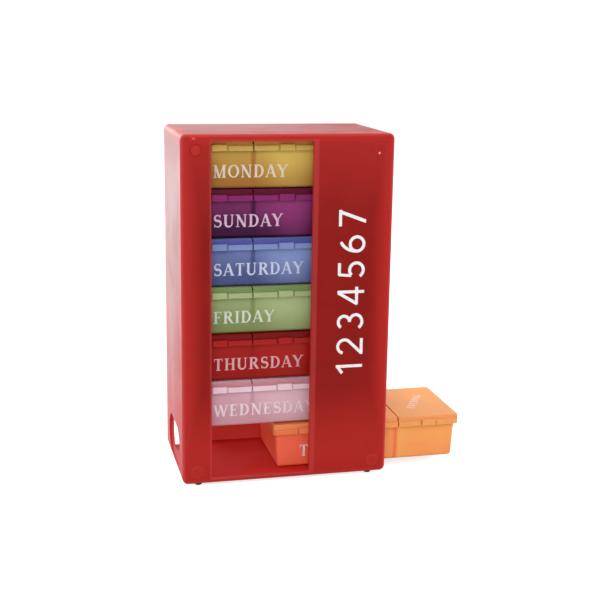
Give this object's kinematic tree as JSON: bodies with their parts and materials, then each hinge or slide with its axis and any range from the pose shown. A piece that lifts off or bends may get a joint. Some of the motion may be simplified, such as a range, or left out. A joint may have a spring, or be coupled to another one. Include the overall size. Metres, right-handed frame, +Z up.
{
  "type": "weekly pill organizer",
  "caption": "Upright magazine of stacked day trays with hinged lids; the lowest tray is pushed out at the side and goes back in at the top.",
  "frame": {"origin": "centre of the housing's flat underside, 1.2 mm above the surface that the feet stand on", "axes": "+Z up, +X to the right seen from the front, where the lowest tray leaves, +Y from the front to the back"},
  "size_m": [0.1089, 0.0464, 0.1302],
  "materials": {
    "shell": "frosted",
    "foot": "satin",
    "monday": "frosted",
    "sunday": "frosted",
    "saturday": "frosted",
    "friday": "frosted",
    "thursday": "frosted",
    "wednesday": "frosted",
    "tuesday": "frosted"
  },
  "bodies": {
    "magazine": {"housing": "shell", "front_cover": "shell", "cover_pegs": "shell", "feet": "foot", "tray_wednesday": "wednesday", "lid_wednesday_morning": "wednesday", "lid_wednesday_noon": "wednesday", "lid_wednesday_evening": "wednesday", "tray_thursday": "thursday", "lid_thursday_morning": "thursday", "lid_thursday_noon": "thursday", "lid_thursday_evening": "thursday", "tray_friday": "friday", "lid_friday_morning": "friday", "lid_friday_noon": "friday", "lid_friday_evening": "friday", "tray_saturday": "saturday", "lid_saturday_morning": "saturday", "lid_saturday_noon": "saturday", "lid_saturday_evening": "saturday", "tray_sunday": "sunday", "lid_sunday_morning": "sunday", "lid_sunday_noon": "sunday", "lid_sunday_evening": "sunday"},
    "bottom_tray": {"tray_tuesday": "tuesday", "lid_tuesday_morning": "tuesday", "lid_tuesday_noon": "tuesday"},
    "bottom_lid": {"lid_tuesday_evening": "tuesday"},
    "top_tray": {"tray_monday": "monday", "lid_monday_morning": "monday", "lid_monday_noon": "monday", "lid_monday_evening": "monday"}
  },
  "joints": [
    {"name": "bottom_tray_slide", "type": "slide", "parent": "magazine", "child": "bottom_tray", "axis": [1, 0, 0], "range_m": [-0.033, 0.0455]},
    {"name": "bottom_lid_hinge", "type": "hinge", "parent": "bottom_tray", "child": "bottom_lid", "pos_m": [0.0576, 0.0162, 0.0168], "axis": [-1, 0, 0], "range_deg": [0, 180]},
    {"name": "top_tray_slide", "type": "slide", "parent": "magazine", "child": "top_tray", "axis": [1, 0, 0], "range_m": [0, 0.0785]}
  ]
}
